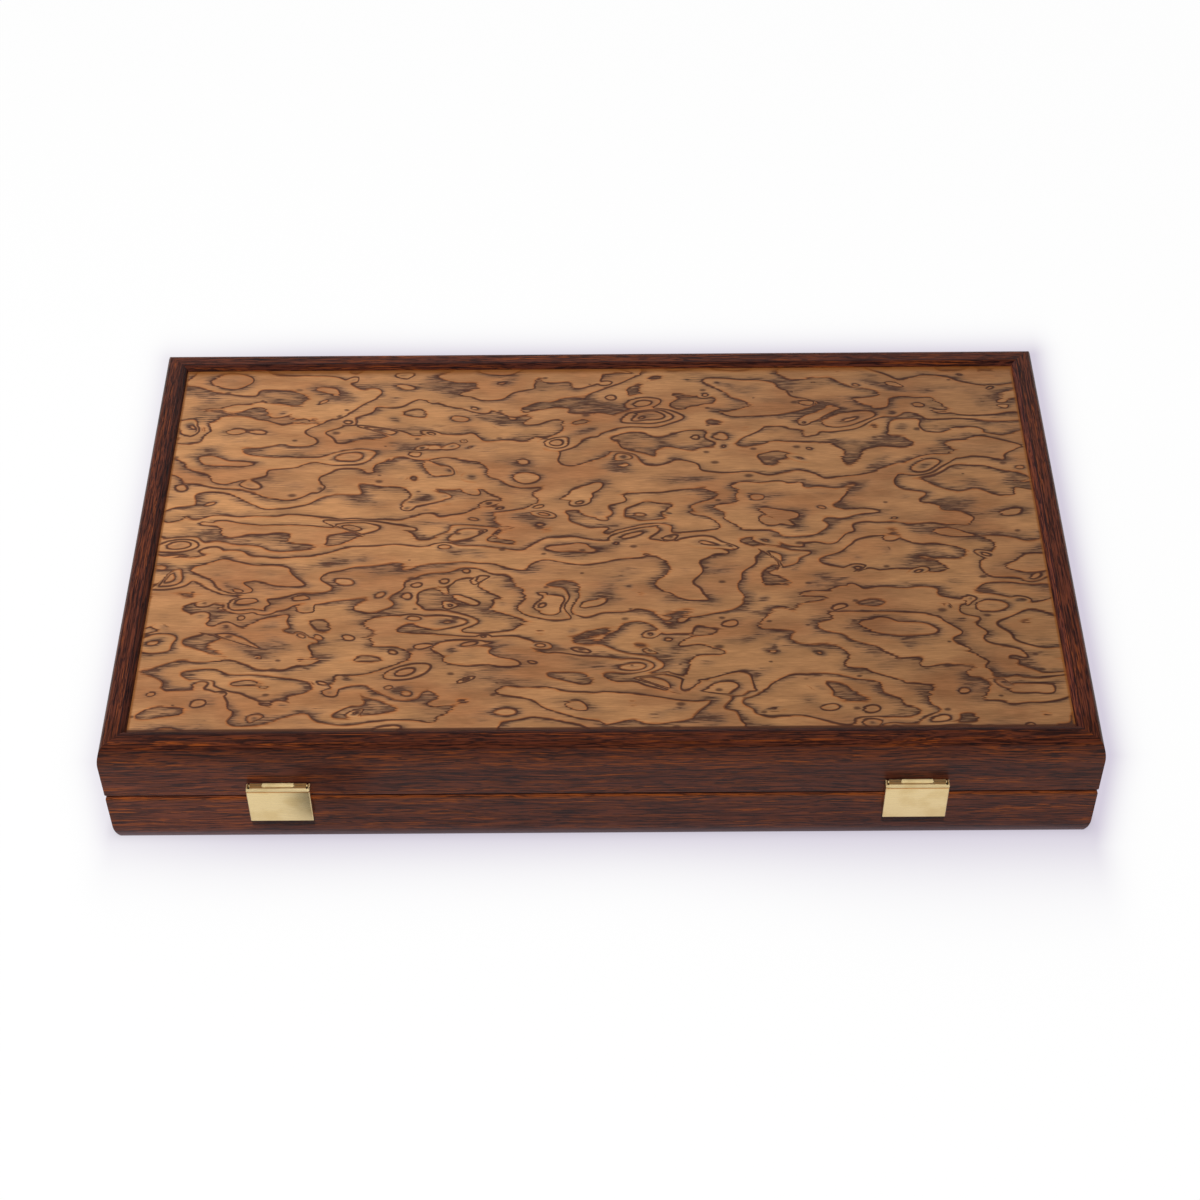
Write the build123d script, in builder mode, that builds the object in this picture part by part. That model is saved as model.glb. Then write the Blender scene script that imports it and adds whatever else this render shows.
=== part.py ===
from build123d import *
import os
from math import atan2, degrees

os.makedirs("parts", exist_ok=True)

# A folding wooden backgammon case: two mirrored trays, hinged along the back and held shut by
# two brass flap latches at the front. X runs along the hinge, Y from the front to the hinge,
# Z up, in millimetres. The origin is the middle of the closed case's underside.

# Case
case_width = 480.0
case_depth = 284.0
case_height = 70.0
half_height = case_height / 2

# Rail section, with heights measured from the rim, where the two halves meet
rail_width = 13.5
rim_round = 2.0
rim_edge_round = 0.6
moulding_width = 3.2
moulding_drop = 2.2
upright = 22.8
shoulder_inset = 5.1
shoulder_round = 3.4

# Panel of each half: a core in the rails' grooves, with a veneer on each face
panel_recess = 2.4
veneer = 0.6
core_thickness = 6.0
groove_depth = 5.0
groove_gap = 0.3

# Playing field and checker rack
rack_width = 36.0
divider_width = 8.8
divider_drop = 0.5
divider_chamfer = 0.5
points_per_side = 6
point_length = 185.0
point_gap = 1.8

# Butt hinges
hinge_spacing = 300.0
hinge_length = 38.0
hinge_axis_stand = 0.3
knuckle_radius = 3.0
knuckle_count = 3
knuckle_gap = 0.3
knuckle_clearance = 0.3
hinge_pin_radius = 1.2
barrel_end_gap = 0.5
leaf_thickness = 1.2
leaf_reach = 12.3
leaf_gap = 0.1
leaf_screw_pitch = 22.0
leaf_screw_inset = 7.8

# Flap latches
latch_spacing = 306.6
latch_offset = -1.75
flap_width = 30.5
flap_height = 24.0
flap_bottom = 22.0
flap_stand = 5.0
flap_gap = 0.3
flap_sheet = 0.8
flap_top_round = 1.0
flap_edge_bevel = 0.35
flap_heel_round = 1.1
corner_notch = 0.85
latch_axis_stand = 1.4
latch_axis_drop = 1.0
flap_knuckle_radius = 1.2
fixed_knuckle_radius = 1.35
fixed_knuckle_width = 15.0
latch_knuckle_gap = 0.3
latch_pin_radius = 0.6
latch_pin_end_gap = 0.3
lip_width = 12.0
lip_bottom = 26.6
lip_thickness = 1.0
lip_depth = 3.0
plate_sheet = 0.6
plate_width = 25.0
plate_bottom = 37.2
plate_top = 42.6
keeper_width = 23.0
keeper_bottom = 23.6
keeper_top = 32.6
ridge_width = 13.0
ridge_depth = 1.6
ridge_height = 2.6
ridge_nose = 0.8
lip_clearance = 0.2

# Screws
running_clearance = 0.05
shank_sides = 6
leaf_screw_radius = 1.1
leaf_screw_head = 2.4
leaf_screw_length = 12.0
sink_angle = 45
latch_screw_radius = 0.8
latch_screw_head = 1.5
latch_screw_head_height = 0.7
latch_screw_length = 8.0
latch_screw_offset = 9.2

# Levels and lines that follow from the sizes above
rim_plane = Plane.XY.offset(half_height)
front_y = -case_depth / 2
back_y = case_depth / 2
inner_x = case_width / 2 - rail_width
inner_y = case_depth / 2 - rail_width
skin_z = panel_recess
core_z = skin_z + veneer
floor_z = core_z + core_thickness
rack_back_y = -inner_y + rack_width
field_front_y = rack_back_y + divider_width
field_length = inner_y - field_front_y
point_pitch = field_length / points_per_side
hinge_y = back_y + hinge_axis_stand
leaf_top = half_height - leaf_gap
leaf_floor = leaf_top - leaf_thickness
knuckle_pitch = hinge_length / knuckle_count
latch_y = front_y - latch_axis_stand
flap_top = flap_bottom + flap_height
latch_z = flap_top - latch_axis_drop
plate_screw_z = (plate_bottom + plate_top) / 2
keeper_screw_z = (keeper_bottom + keeper_top) / 2
ridge_bottom = lip_bottom + lip_thickness + lip_clearance
front_plane = Plane(origin=(0, front_y, 0), x_dir=(1, 0, 0), z_dir=(0, -1, 0))
hinge_places = {"left": -hinge_spacing / 2, "right": hinge_spacing / 2}
latch_places = {"left": latch_offset - latch_spacing / 2, "right": latch_offset + latch_spacing / 2}


def save(piece, name):
    """Label a finished piece and write it."""
    piece.part.label = name
    export_step(piece.part, f"parts/{name}.step")


def mirrored(piece):
    """The same piece in the other half of the case."""
    with BuildPart() as twin:
        mirror(piece.part, about=rim_plane)
    return twin


# Rails: one section, drawn from the rim down, runs along each side and is mitred at both ends.
# Below the upright part the outer face swells inwards on a wide arc and ends in a small round,
# and the edge round the outer panel is rounded over to a small step.
def rail_blank(outward, reach, length):
    """A mitred rail of the base whose outer face looks along outward."""
    along = outward.rotate(Axis.Z, 90)
    middle = outward * reach + Vector(0, 0, half_height)
    section = Plane(origin=middle, x_dir=-outward, z_dir=along)
    swell_rise = half_height - shoulder_round - upright
    side_round = (shoulder_inset**2 + swell_rise**2 - shoulder_round**2) / (
        2 * (shoulder_inset - shoulder_round)
    )
    side_turn = degrees(atan2(swell_rise, side_round - shoulder_inset))
    with BuildPart() as blank:
        with BuildSketch(section):
            with BuildLine():
                rim = Line((rim_round, 0), (rail_width - rim_edge_round, 0))
                rim_edge = JernArc(rim @ 1, (1, 0), rim_edge_round, -90)
                groove = Polyline(
                    rim_edge @ 1,
                    (rail_width, floor_z - half_height),
                    (rail_width - groove_depth, floor_z - half_height),
                    (rail_width - groove_depth, core_z - half_height),
                    (rail_width, core_z - half_height),
                    (rail_width, moulding_drop - half_height),
                )
                strip = Line((rail_width - moulding_width, -half_height), (shoulder_inset, -half_height))
                TangentArc(strip @ 0, groove @ 1, tangent=(1, 0))
                shoulder = JernArc(strip @ 1, (-1, 0), shoulder_round, side_turn - 90)
                swell = JernArc(shoulder @ 1, shoulder % 1, side_round, -side_turn)
                wall = Line(swell @ 1, (0, -rim_round))
                JernArc(wall @ 1, (0, 1), rim_round, -90)
            make_face()
        extrude(amount=length / 2, both=True)
        for end in (-1, 1):
            corner = outward * reach + along * (end * length / 2)
            split(bisect_by=Plane(origin=corner, z_dir=along * end - outward), keep=Keep.BOTTOM)
    return blank


def drill_front(rail, places):
    """A front rail with pilot holes for the screws of one half of the latches."""
    with BuildPart() as drilled:
        add(rail.part)
        with BuildSketch(front_plane):
            with Locations(*places):
                RegularPolygon(latch_screw_radius, shank_sides)
        extrude(amount=-latch_screw_length, mode=Mode.SUBTRACT)
    return drilled


def hinge_screw_places(level):
    """The centres of the screws of both hinges, at one level."""
    return [
        (x + side * leaf_screw_pitch / 2, hinge_y - leaf_screw_inset, level)
        for x in hinge_places.values()
        for side in (-1, 1)
    ]


def latch_screw_places(height):
    """The centres of the screws beside both latches' middles, at one height on the front face."""
    return [
        (x + side * latch_screw_offset, height)
        for x in latch_places.values()
        for side in (-1, 1)
    ]


def back_rail():
    """The base's back rail, mortised for the hinge leaves and hollowed for their barrels."""
    blank = rail_blank(Vector(0, 1, 0), case_depth / 2, case_width)
    barrel_length = hinge_length + 2 * barrel_end_gap
    with BuildPart() as rail:
        add(blank.part)
        with BuildSketch(rim_plane):
            with Locations(*[(x, hinge_y - leaf_reach / 2) for x in hinge_places.values()]):
                Rectangle(hinge_length, leaf_reach)
        extrude(amount=leaf_floor - half_height, mode=Mode.SUBTRACT)
        for x in hinge_places.values():
            with BuildSketch(Plane.YZ.offset(x)):
                with Locations((hinge_y, half_height)):
                    Circle(knuckle_radius + knuckle_clearance)
            extrude(amount=barrel_length / 2, both=True, mode=Mode.SUBTRACT)
        with BuildSketch(Plane.XY.offset(leaf_floor)):
            with Locations(*[place[:2] for place in hinge_screw_places(leaf_floor)]):
                RegularPolygon(leaf_screw_radius, shank_sides)
        extrude(amount=-leaf_screw_length, mode=Mode.SUBTRACT)
    return rail


plain_front_rail = rail_blank(Vector(0, -1, 0), case_depth / 2, case_width)
base_front_rail = drill_front(plain_front_rail, latch_screw_places(keeper_screw_z))
lid_front_rail = drill_front(mirrored(plain_front_rail), latch_screw_places(plate_screw_z))
save(base_front_rail, "base_front_rail")
save(lid_front_rail, "lid_front_rail")

base_back_rail = back_rail()
save(base_back_rail, "base_back_rail")
save(mirrored(base_back_rail), "lid_back_rail")

for side_name, direction in {"left": -1, "right": 1}.items():
    side_rail = rail_blank(Vector(direction, 0, 0), case_width / 2, case_depth)
    save(side_rail, f"base_{side_name}_rail")
    save(mirrored(side_rail), f"lid_{side_name}_rail")


# Panels: the core floats in the grooves, the veneers end at the rails
def slab(width, front, back, bottom, thickness):
    """A flat sheet that spans the given width about the middle."""
    with BuildPart() as sheet:
        with BuildSketch(Plane.XY.offset(bottom)):
            with Locations((0, (front + back) / 2)):
                Rectangle(width, back - front)
        extrude(amount=thickness)
    return sheet


groove_reach = groove_depth - groove_gap
core = slab(
    2 * (inner_x + groove_reach), -inner_y - groove_reach, inner_y + groove_reach, core_z, core_thickness
)
outer_veneer = slab(2 * inner_x, -inner_y, inner_y, skin_z, veneer)
rack_floor = slab(2 * inner_x, -inner_y, rack_back_y, floor_z, veneer)
for name, sheet in {"core_panel": core, "outer_veneer": outer_veneer, "rack_floor": rack_floor}.items():
    save(sheet, f"base_{name}")
    save(mirrored(sheet), f"lid_{name}")


# Points: long triangles let into the field from its left and right ends, in two woods that
# alternate along the hinge's run, across it, and from one half to the other
def point_outlines(parity):
    """The corners of every second point, counted from the front along both ends."""
    outlines = []
    for direction in (-1, 1):
        for index in range(points_per_side):
            if (index + (direction + 1) // 2) % 2 == parity:
                middle = field_front_y + (index + 0.5) * point_pitch
                half_base = (point_pitch - point_gap) / 2
                outlines.append(
                    [
                        (direction * inner_x, middle - half_base),
                        (direction * inner_x, middle + half_base),
                        (direction * (inner_x - point_length), middle),
                    ]
                )
    return outlines


def point_inlays(parity):
    """The inlaid points of one wood."""
    with BuildPart() as inlays:
        with BuildSketch(Plane.XY.offset(floor_z)):
            for outline in point_outlines(parity):
                Polygon(*outline, align=None)
        extrude(amount=veneer)
    return inlays


with BuildPart() as field:
    with BuildSketch(Plane.XY.offset(floor_z)):
        with Locations((0, (field_front_y + inner_y) / 2)):
            Rectangle(2 * inner_x, field_length)
        for outline in point_outlines(0) + point_outlines(1):
            Polygon(*outline, align=None, mode=Mode.SUBTRACT)
    extrude(amount=veneer)

save(field, "base_field_veneer")
save(mirrored(field), "lid_field_veneer")
even_points = point_inlays(0)
odd_points = point_inlays(1)
save(even_points, "base_points_light")
save(odd_points, "base_points_dark")
save(mirrored(odd_points), "lid_points_light")
save(mirrored(even_points), "lid_points_dark")

with BuildPart() as divider:
    with BuildSketch(Plane.XY.offset(floor_z)):
        with Locations((0, (rack_back_y + field_front_y) / 2)):
            Rectangle(2 * inner_x, divider_width)
    extrude(amount=half_height - divider_drop - floor_z)
    top_edges = divider.faces().sort_by(Axis.Z)[-1].edges().filter_by(Axis.X)
    chamfer(top_edges, length=divider_chamfer)
save(divider, "base_rack_divider")
save(mirrored(divider), "lid_rack_divider")


# Butt hinges: each leaf lies in its mortise and carries every second knuckle of the barrel
def hinge_leaf(x, own_knuckles):
    """A leaf just under the rim, clear of the knuckles that belong to the other leaf."""
    barrel_start = x - hinge_length / 2
    with BuildPart() as leaf:
        with BuildSketch(Plane.XY.offset(leaf_top)):
            with Locations((x, hinge_y - leaf_reach / 2)):
                Rectangle(hinge_length, leaf_reach)
        extrude(amount=-leaf_thickness)
        for index in range(knuckle_count):
            knuckle_start = barrel_start + index * knuckle_pitch
            if index in own_knuckles:
                with BuildSketch(Plane.YZ.offset(knuckle_start + knuckle_gap / 2)):
                    with Locations((hinge_y, half_height)):
                        Circle(knuckle_radius)
                extrude(amount=knuckle_pitch - knuckle_gap)
            else:
                with BuildSketch(Plane.YZ.offset(knuckle_start)):
                    with Locations((hinge_y, half_height)):
                        Circle(knuckle_radius + knuckle_clearance)
                extrude(amount=knuckle_pitch, mode=Mode.SUBTRACT)
        with BuildSketch(Plane.YZ.offset(x)):
            with Locations((hinge_y, half_height)):
                Circle(hinge_pin_radius + running_clearance)
        extrude(amount=hinge_length / 2, both=True, mode=Mode.SUBTRACT)
        with BuildSketch(Plane.XY.offset(leaf_top)):
            with Locations(*[place[:2] for place in hinge_screw_places(leaf_top)]):
                Circle(leaf_screw_head)
        extrude(amount=-leaf_thickness, taper=sink_angle, mode=Mode.SUBTRACT)
    return leaf


def hinge_pin(x):
    """A pin through the barrel, flush with its ends."""
    with BuildPart() as pin:
        with BuildSketch(Plane.YZ.offset(x)):
            with Locations((hinge_y, half_height)):
                Circle(hinge_pin_radius)
        extrude(amount=hinge_length / 2, both=True)
    return pin


for side_name, x in hinge_places.items():
    save(hinge_leaf(x, own_knuckles=(0, 2)), f"base_hinge_leaf_{side_name}")
    save(mirrored(hinge_leaf(x, own_knuckles=(1,))), f"lid_hinge_leaf_{side_name}")
    save(hinge_pin(x), f"hinge_pin_{side_name}")


# Screws: along Z with the head's seat at the origin, their threaded shanks as plain prisms
with BuildPart() as leaf_screw:
    with BuildSketch(Plane.XY):
        Circle(leaf_screw_head - running_clearance)
    extrude(amount=-leaf_thickness, taper=sink_angle)
    with BuildSketch(Plane.XY):
        RegularPolygon(leaf_screw_radius, shank_sides)
    extrude(amount=-leaf_screw_length)

with BuildPart() as latch_screw:
    with BuildSketch(Plane.XY):
        Circle(latch_screw_head)
    extrude(amount=latch_screw_head_height)
    with BuildSketch(Plane.XY):
        RegularPolygon(latch_screw_radius, shank_sides)
    extrude(amount=-latch_screw_length)


def latch_screws(height):
    """The flat-topped screws of one half of the latches."""
    seat = front_plane.offset(plate_sheet)
    with BuildPart() as screws:
        with Locations(*[seat.location * Location((u, v, 0)) for u, v in latch_screw_places(height)]):
            add(latch_screw.part)
    return screws


with BuildPart() as leaf_screws:
    with Locations(*hinge_screw_places(leaf_top)):
        add(leaf_screw.part)
save(leaf_screws, "base_hinge_screws")
save(mirrored(leaf_screws), "lid_hinge_screws")
save(latch_screws(keeper_screw_z), "keeper_screws")
save(latch_screws(plate_screw_z), "latch_plate_screws")


# Latches: a folded sheet flap turns on a pin in a plate on the lid, and its lip hooks under
# the ridge of a keeper on the base
def latch_flap(x):
    """The flap: front, top and side walls of folded sheet, rolled knuckles and a catch lip."""
    inner_half = flap_width / 2 - flap_sheet
    top_half = inner_half - corner_notch
    slot_half = fixed_knuckle_width / 2 + latch_knuckle_gap
    slot_reach = fixed_knuckle_radius + latch_knuckle_gap
    barrel_width = top_half - slot_half
    with BuildPart() as flap:
        with BuildSketch(front_plane.offset(flap_gap)):
            with Locations((x, (flap_bottom + flap_top) / 2)):
                Rectangle(flap_width, flap_height)
        extrude(amount=flap_stand - flap_gap)
        front_rim = flap.faces().sort_by(Axis.Y)[0].edges()
        fillet(front_rim.sort_by(Axis.Z)[-1], radius=flap_top_round)
        rear_face = flap.faces().sort_by(Axis.Y)[-1]
        bottom_face = flap.faces().sort_by(Axis.Z)[0]
        offset(amount=-flap_sheet, openings=[rear_face, bottom_face])
        front_rim = flap.faces().sort_by(Axis.Y)[0].edges()
        chamfer(front_rim.sort_by(Axis.Z)[:-1], length=flap_edge_bevel)
        # The top wall ends at the axis, short of the side walls and round the fixed knuckle, and
        # the side walls' heels are rounded to swing clear of the rail
        for side in (-1, 1):
            with BuildSketch(Plane.XY.offset(flap_top)):
                with Locations((x + side * (inner_half - corner_notch / 2), front_y)):
                    Rectangle(corner_notch, 2 * (flap_stand - flap_top_round))
            extrude(amount=-flap_sheet, mode=Mode.SUBTRACT)
        with BuildSketch(Plane.XY.offset(flap_top)):
            with Locations((x, front_y)):
                Rectangle(2 * inner_half, 2 * latch_axis_stand)
            with Locations((x, front_y)):
                Rectangle(2 * slot_half, 2 * (latch_axis_stand + slot_reach))
        extrude(amount=-flap_sheet, mode=Mode.SUBTRACT)
        with BuildSketch(Plane.YZ.offset(x)):
            with Locations((front_y - flap_gap - flap_heel_round, flap_top - flap_heel_round)):
                Rectangle(flap_heel_round, flap_heel_round, align=(Align.MIN, Align.MIN))
                Circle(flap_heel_round, mode=Mode.SUBTRACT)
        extrude(amount=flap_width / 2, both=True, mode=Mode.SUBTRACT)
        for side in (-1, 1):
            with BuildSketch(Plane.YZ.offset(x + side * slot_half)):
                with Locations((latch_y, latch_z)):
                    Circle(flap_knuckle_radius)
            extrude(amount=side * barrel_width)
        with BuildSketch(Plane.YZ.offset(x)):
            with Locations((latch_y, latch_z)):
                Circle(latch_pin_radius + running_clearance)
        extrude(amount=inner_half, both=True, mode=Mode.SUBTRACT)
        with BuildSketch(front_plane.offset(flap_stand - flap_sheet)):
            with Locations((x, lip_bottom + lip_thickness / 2)):
                Rectangle(lip_width, lip_thickness)
        extrude(amount=-lip_depth)
    return flap


def latch_plate(x):
    """The plate on the lid, with the fixed knuckle rolled from its tongue."""
    with BuildPart() as plate:
        with BuildSketch(front_plane):
            with Locations((x, plate_screw_z)):
                Rectangle(plate_width, plate_top - plate_bottom)
            with Locations((x, (plate_screw_z + latch_z) / 2)):
                Rectangle(fixed_knuckle_width, latch_z - plate_screw_z)
            with Locations(*latch_screw_places(plate_screw_z)):
                Circle(latch_screw_radius + running_clearance, mode=Mode.SUBTRACT)
        extrude(amount=plate_sheet)
        with BuildSketch(Plane.YZ.offset(x)):
            with Locations((latch_y, latch_z)):
                Circle(fixed_knuckle_radius)
        extrude(amount=fixed_knuckle_width / 2, both=True)
        with BuildSketch(Plane.YZ.offset(x)):
            with Locations((latch_y, latch_z)):
                Circle(latch_pin_radius + running_clearance)
        extrude(amount=fixed_knuckle_width / 2, both=True, mode=Mode.SUBTRACT)
    return plate


def latch_pin(x):
    """The pin of a latch, between the flap's side walls."""
    with BuildPart() as pin:
        with BuildSketch(Plane.YZ.offset(x)):
            with Locations((latch_y, latch_z)):
                Circle(latch_pin_radius)
        extrude(amount=flap_width / 2 - flap_sheet - latch_pin_end_gap, both=True)
    return pin


def keeper(x):
    """The keeper on the base: a plate with a ridge, flat below and rounded above."""
    plate_y = front_y - plate_sheet
    with BuildPart() as catch:
        with BuildSketch(front_plane):
            with Locations((x, keeper_screw_z)):
                Rectangle(keeper_width, keeper_top - keeper_bottom)
            with Locations(*latch_screw_places(keeper_screw_z)):
                Circle(latch_screw_radius + running_clearance, mode=Mode.SUBTRACT)
        extrude(amount=plate_sheet)
        with BuildSketch(Plane.YZ.offset(x)):
            with BuildLine():
                outline = Polyline(
                    (front_y - plate_sheet / 2, ridge_bottom + ridge_height),
                    (front_y - plate_sheet / 2, ridge_bottom),
                    (plate_y - ridge_depth, ridge_bottom),
                    (plate_y - ridge_depth, ridge_bottom + ridge_nose),
                )
                crown = EllipticalCenterArc(
                    center=(plate_y, ridge_bottom + ridge_nose),
                    x_radius=ridge_depth,
                    y_radius=ridge_height - ridge_nose,
                    start_angle=90,
                    arc_size=90,
                )
                Line(crown @ 0, outline @ 0)
            make_face()
        extrude(amount=ridge_width / 2, both=True)
    return catch


for side_name, x in latch_places.items():
    save(latch_flap(x), f"latch_flap_{side_name}")
    save(latch_plate(x), f"latch_plate_{side_name}")
    save(latch_pin(x), f"latch_pin_{side_name}")
    save(keeper(x), f"keeper_{side_name}")
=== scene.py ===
"""Dresses the closed backgammon board: rail wood, burl veneer, brass, screw heads, studio and camera."""

import logging
import math
from dataclasses import dataclass, field
from enum import Enum
from typing import Mapping, Optional, Sequence, Union

import bmesh
import bpy
from mathutils import Matrix, Vector

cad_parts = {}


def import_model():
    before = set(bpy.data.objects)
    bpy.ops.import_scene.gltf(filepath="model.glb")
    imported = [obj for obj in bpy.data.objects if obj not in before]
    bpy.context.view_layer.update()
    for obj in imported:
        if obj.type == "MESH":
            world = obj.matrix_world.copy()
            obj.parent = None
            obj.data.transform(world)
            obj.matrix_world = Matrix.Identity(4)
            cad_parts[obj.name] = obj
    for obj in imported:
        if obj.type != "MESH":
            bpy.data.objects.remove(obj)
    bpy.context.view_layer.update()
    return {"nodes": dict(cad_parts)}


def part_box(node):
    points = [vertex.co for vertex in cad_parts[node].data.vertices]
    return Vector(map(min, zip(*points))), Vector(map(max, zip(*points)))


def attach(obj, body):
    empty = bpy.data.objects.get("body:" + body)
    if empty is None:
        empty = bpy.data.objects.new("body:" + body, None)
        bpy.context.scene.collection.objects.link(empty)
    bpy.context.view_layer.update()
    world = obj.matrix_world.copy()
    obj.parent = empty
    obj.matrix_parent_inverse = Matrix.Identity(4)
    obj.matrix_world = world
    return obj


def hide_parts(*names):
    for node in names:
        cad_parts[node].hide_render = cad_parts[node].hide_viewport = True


LOG = logging.getLogger("backgammon_board")
MM = 0.001

Colour = tuple[float, float, float]
Place = tuple[float, float, float]
Wire = Union["Value", float, Sequence[float]]


def linear(share: float) -> float:
    """Turns a channel as seen on a screen, 0 to 1, into linear light."""
    return share / 12.92 if share <= 0.04045 else ((share + 0.055) / 1.055) ** 2.4


def srgb(*channels: int) -> Colour:
    """The linear colour that the shaders take, from red, green and blue on a screen, 0 to 255."""
    return tuple(linear(channel / 255.0) for channel in channels)


class Grain(Enum):
    """Which way the fibres of a wooden piece run."""

    ALONG_X = "x"
    ALONG_Y = "y"


class Side(Enum):
    """Left or right hardware of the case; the value ends the names of its nodes."""

    LEFT = "left"
    RIGHT = "right"


class Half(Enum):
    """The two trays of the folding case; the value starts the names of their nodes."""

    BASE = "base"
    LID = "lid"


@dataclass(frozen=True)
class Fade:
    """An eased change, held at both ends: readings from low to high give results from start to end."""

    low: float
    high: float
    start: float = 0.0
    end: float = 1.0


def swing(start: float, end: float) -> Fade:
    """A change over the readings between which most of a noise lies."""
    return Fade(0.3, 0.7, start, end)


# Shader graphs


class Graph:
    """A node tree, with a short call for each kind of node that starts or ends a chain of values."""

    def __init__(self, tree: bpy.types.NodeTree) -> None:
        """Notes the tree that takes the nodes."""
        self.tree = tree

    def node(self, kind: str, inputs: Mapping[Union[int, str], Wire], **settings: object) -> bpy.types.Node:
        """Adds a node.

        Args:
            kind: The node's type.
            inputs: What its inputs are linked with or set to.
            **settings: Properties set on the node.

        Returns:
            The node.
        """
        node = self.tree.nodes.new(kind)
        for name, value in settings.items():
            setattr(node, name, value)
        for key, value in inputs.items():
            socket = node.inputs[key]
            if isinstance(value, Value):
                self.tree.links.new(value.socket, socket)
            else:
                socket.default_value = (*value, 1.0) if socket.type == "RGBA" else value
        return node

    def add(self, kind: str, inputs: Optional[Mapping[Union[int, str], Wire]] = None,
            output: Union[int, str] = 0, **settings: object) -> "Value":
        """Adds a node, as above, and gives one of its outputs."""
        return Value(self, self.node(kind, inputs or {}, **settings).outputs[output])

    def place(self) -> "Value":
        """Object coordinates in millimetres."""
        return self.add("ShaderNodeTexCoord", output="Object") * (1 / MM, 1 / MM, 1 / MM)

    def join(self, x: Wire, y: Wire, z: Wire = 0.0) -> "Value":
        """A vector from its three parts."""
        return self.add("ShaderNodeCombineXYZ", {0: x, 1: y, 2: z})

    def blend(self, share: Wire, below: Wire, above: Wire, **settings: str) -> "Value":
        """Blends a share of one colour with another."""
        return self.add("ShaderNodeMix", {0: share, 6: below, 7: above}, 2, data_type="RGBA", **settings)

    def bump(self, height: Wire, depth: float, strength: float, **on: "Value") -> "Value":
        """A normal from a height with that depth in millimetres, on the Normal if one is given."""
        inputs = {"Strength": strength, "Distance": depth * MM, "Height": height, **on}
        return self.add("ShaderNodeBump", inputs)

    def surface(self, inputs: Mapping[str, Wire]) -> None:
        """Ends a material with its surface shader and output."""
        self.node("ShaderNodeOutputMaterial", {"Surface": self.add("ShaderNodeBsdfPrincipled", inputs)})


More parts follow.
